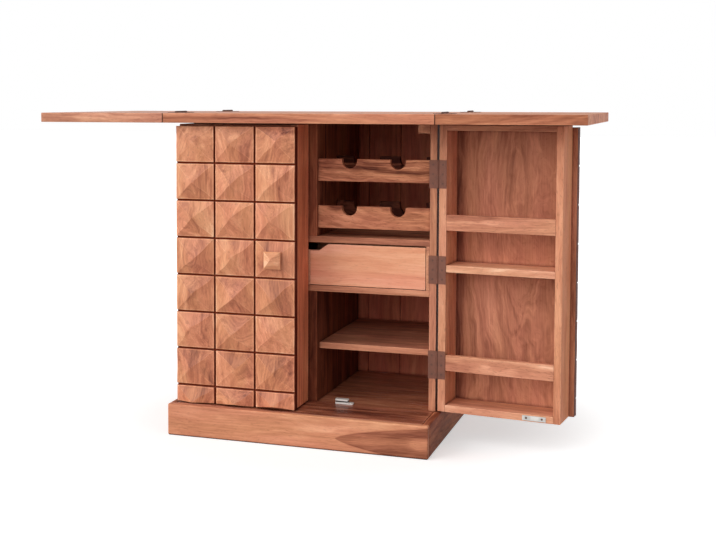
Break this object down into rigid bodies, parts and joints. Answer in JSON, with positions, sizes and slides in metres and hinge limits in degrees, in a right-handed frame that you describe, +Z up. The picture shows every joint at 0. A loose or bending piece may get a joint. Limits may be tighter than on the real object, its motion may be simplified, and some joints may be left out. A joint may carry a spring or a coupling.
{
  "type": "bar armoire",
  "caption": "Free-standing hardwood bar cabinet with deep carved doors that open into bottle shelves, a fold-out top, bottle racks, shelves and a drawer.",
  "frame": {"origin": "centre of the plinth's underside, on the floor", "axes": "+Z up, the front of the cabinet faces -Y, +X to the right as seen from the front"},
  "size_m": [1.6104, 0.655, 0.9557],
  "materials": {
    "cabinet_wood": "satin oiled hardwood, warm brown with dark grain",
    "top_wood": "satin oiled hardwood boards",
    "carved_wood": "hand-cut hardwood blocks, satin",
    "drawer_wood": "lighter hardwood, satin",
    "hinge_metal": "antiqued dark brown",
    "fastener_steel": "dark, slightly worn",
    "strike_steel": "bright zinc plated",
    "catch_plastic": "white moulded"
  },
  "bodies": {
    "cabinet": {"back_panel": "cabinet_wood", "cabinet_floor": "cabinet_wood", "door_catches": "catch_plastic", "drawer_cover": "cabinet_wood", "drawer_deck": "cabinet_wood", "drawer_divider": "cabinet_wood", "drawer_guide": "cabinet_wood", "fixed_front": "drawer_wood", "frame_hinge_leaves": "hinge_metal", "frame_hinge_screws": "fastener_steel", "hinge_pins": "fastener_steel", "left_bottle_racks": "cabinet_wood", "left_lower_shelf": "cabinet_wood", "left_side_panel": "cabinet_wood", "lower_divider": "cabinet_wood", "plinth_back": "cabinet_wood", "plinth_front": "cabinet_wood", "plinth_sides": "cabinet_wood", "right_bottle_racks": "cabinet_wood", "right_lower_shelf": "cabinet_wood", "right_side_panel": "cabinet_wood", "top_corner_blocks": "cabinet_wood", "top_panel": "top_wood", "upper_divider": "cabinet_wood"},
    "left_door": {"left_door_bottom_board": "cabinet_wood", "left_door_carved_blocks": "carved_wood", "left_door_face_panel": "cabinet_wood", "left_door_free_stile": "cabinet_wood", "left_door_hinge_leaves": "hinge_metal", "left_door_hinge_stile": "cabinet_wood", "left_door_knob": "carved_wood", "left_door_lower_rail": "cabinet_wood", "left_door_screws": "fastener_steel", "left_door_shelf": "cabinet_wood", "left_door_strike_plate": "strike_steel", "left_door_top_board": "cabinet_wood", "left_door_upper_rail": "cabinet_wood"},
    "right_door": {"right_door_bottom_board": "cabinet_wood", "right_door_carved_blocks": "carved_wood", "right_door_face_panel": "cabinet_wood", "right_door_free_stile": "cabinet_wood", "right_door_hinge_leaves": "hinge_metal", "right_door_hinge_stile": "cabinet_wood", "right_door_knob": "carved_wood", "right_door_lower_rail": "cabinet_wood", "right_door_screws": "fastener_steel", "right_door_shelf": "cabinet_wood", "right_door_strike_plate": "strike_steel", "right_door_top_board": "cabinet_wood", "right_door_upper_rail": "cabinet_wood"},
    "left_leaf": {"left_leaf_hinge_leaves": "hinge_metal", "left_leaf_panel": "top_wood", "left_leaf_screws": "fastener_steel"},
    "right_leaf": {"right_leaf_hinge_leaves": "hinge_metal", "right_leaf_panel": "top_wood", "right_leaf_screws": "fastener_steel"},
    "drawer": {"drawer_back": "drawer_wood", "drawer_bottom": "drawer_wood", "drawer_front": "drawer_wood", "drawer_sides": "drawer_wood"}
  },
  "joints": [
    {"name": "left_door_hinge", "type": "hinge", "parent": "cabinet", "child": "left_door", "pos_m": [-0.378, -0.1605, 0.5045], "axis": [0, 0, -1], "range_deg": [0, 180]},
    {"name": "right_door_hinge", "type": "hinge", "parent": "cabinet", "child": "right_door", "pos_m": [0.378, -0.1605, 0.5045], "axis": [0, 0, 1], "range_deg": [-173.5, 6.5]},
    {"name": "left_leaf_hinge", "type": "hinge", "parent": "cabinet", "child": "left_leaf", "pos_m": [-0.403, 0, 0.953], "axis": [0, 1, 0], "range_deg": [0, 180]},
    {"name": "right_leaf_hinge", "type": "hinge", "parent": "cabinet", "child": "right_leaf", "pos_m": [0.403, 0, 0.953], "axis": [0, -1, 0], "range_deg": [0, 180]},
    {"name": "drawer_slide", "type": "slide", "parent": "cabinet", "child": "drawer", "axis": [0, -1, 0], "range_m": [0, 0.3]}
  ]
}
